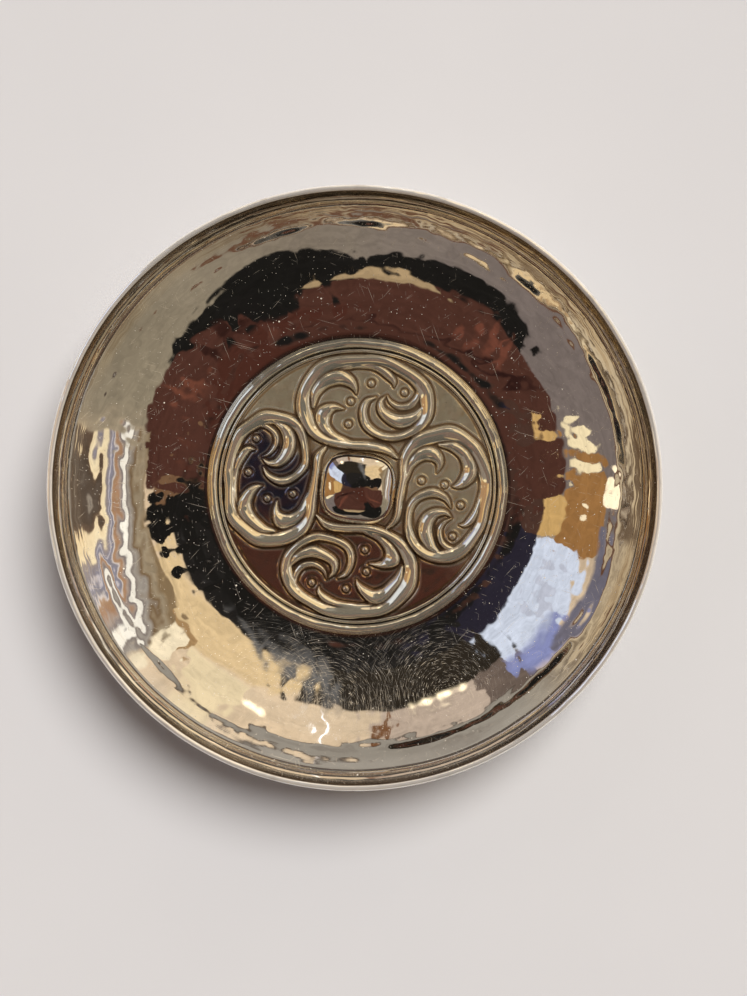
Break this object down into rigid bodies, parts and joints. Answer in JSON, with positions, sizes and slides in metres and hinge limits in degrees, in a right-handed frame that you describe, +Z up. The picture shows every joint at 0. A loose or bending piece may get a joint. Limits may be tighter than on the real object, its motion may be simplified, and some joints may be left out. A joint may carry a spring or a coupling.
{
  "type": "trinket dish",
  "caption": "Shallow round hand-hammered silver trinket dish with a half-round wire rim and a chased medallion of whorl roundels round a domed, rounded-square boss.",
  "frame": {"origin": "centre of the flat base, on the surface that the dish stands on", "axes": "+Z up along the dish's axis, out of its mouth; +Y towards the roundel at the top of the picture, +X to its right"},
  "size_m": [0.11, 0.11, 0.0184],
  "materials": {
    "hammered_silver": "sterling silver, polished over hammer marks, finely scratched in use",
    "wire_silver": "sterling silver wire, polished",
    "chased_silver": "sterling silver, chased relief polished on its crests with brown patina in its recesses",
    "boss_silver": "sterling silver, mirror polished"
  },
  "bodies": {
    "root": {"bowl": "hammered_silver", "rim_wire": "wire_silver", "border_outer_wire": "wire_silver", "border_inner_wire": "wire_silver", "medallion_plate": "chased_silver", "centre_boss": "boss_silver"}
  },
  "joints": []
}
